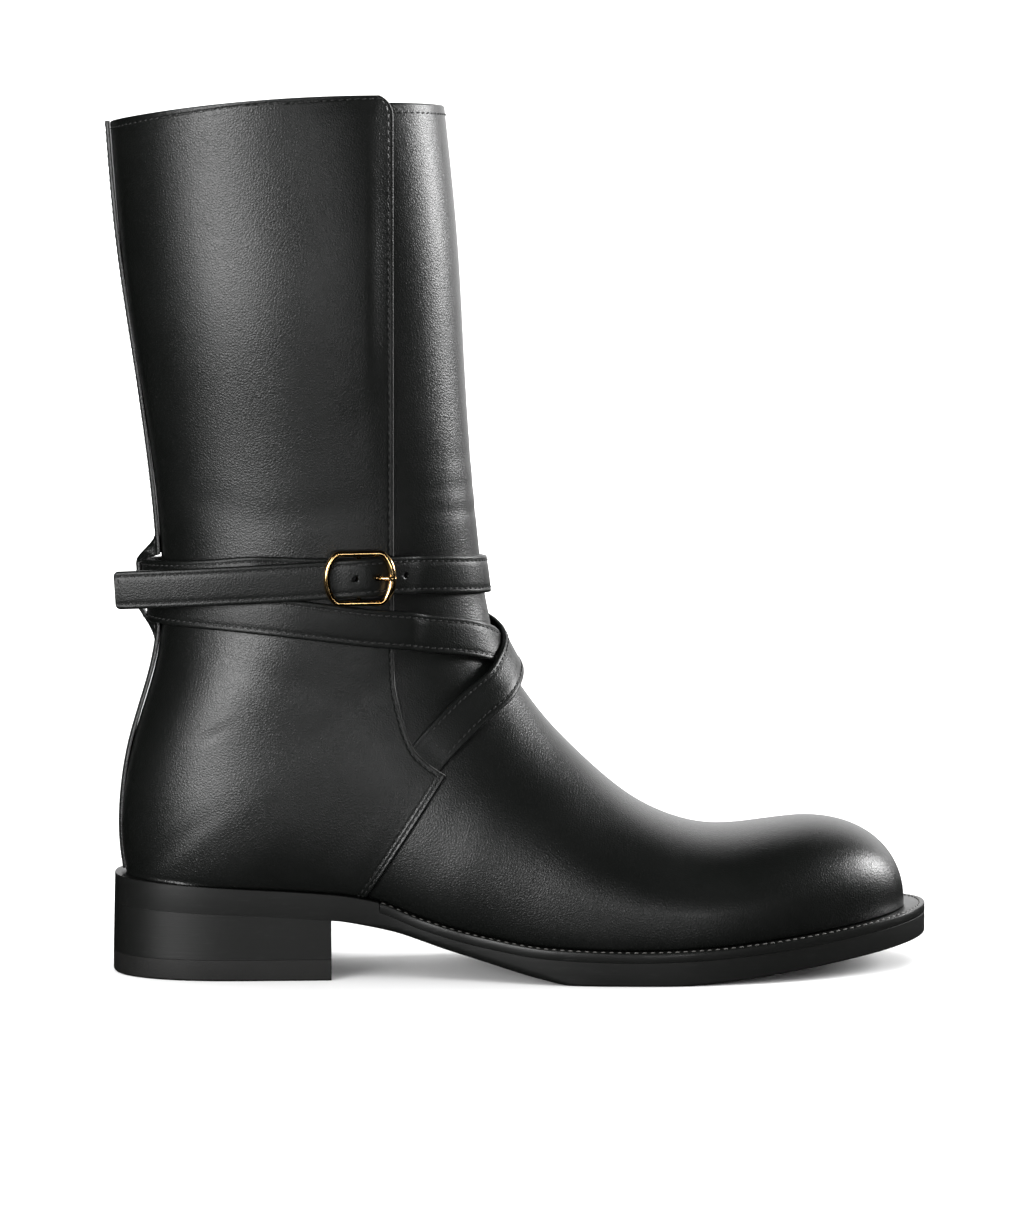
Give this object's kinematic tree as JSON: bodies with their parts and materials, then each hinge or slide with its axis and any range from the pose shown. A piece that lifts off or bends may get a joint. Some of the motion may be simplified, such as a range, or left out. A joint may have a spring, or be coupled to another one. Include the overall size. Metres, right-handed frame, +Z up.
{
  "type": "jodhpur boot",
  "caption": "Mid-calf pull-on riding boot, right foot, with a welted sole, stacked heel and long ankle straps crossed over the instep and buckled on the outer side.",
  "frame": {"origin": "middle of the heel's ground face", "axes": "+X towards the toe, +Y to the inner side of the foot, +Z up the shaft"},
  "size_m": [0.3069, 0.109, 0.3242],
  "materials": {
    "black_calf": "smooth polished calf, fine grain",
    "black_strap": "smooth polished strap leather, stitched edges",
    "welt_leather": "waxed welt with a stitched groove",
    "sole_leather": "burnished black edge",
    "heel_rubber": "matt rubber",
    "insole_leather": "plain dark insole",
    "gold_brass": "polished gold-toned metal"
  },
  "bodies": {
    "root": {"outsole": "sole_leather", "welt": "welt_leather", "heel_block": "sole_leather", "heel_top_piece": "heel_rubber", "insole": "insole_leather", "upper": "black_calf", "quarter_lateral": "black_calf", "quarter_medial": "black_calf", "back_strip": "black_calf", "buckle_strap": "black_strap", "wrap_strap": "black_strap", "buckle_frame": "gold_brass", "buckle_prong": "gold_brass"}
  },
  "joints": []
}
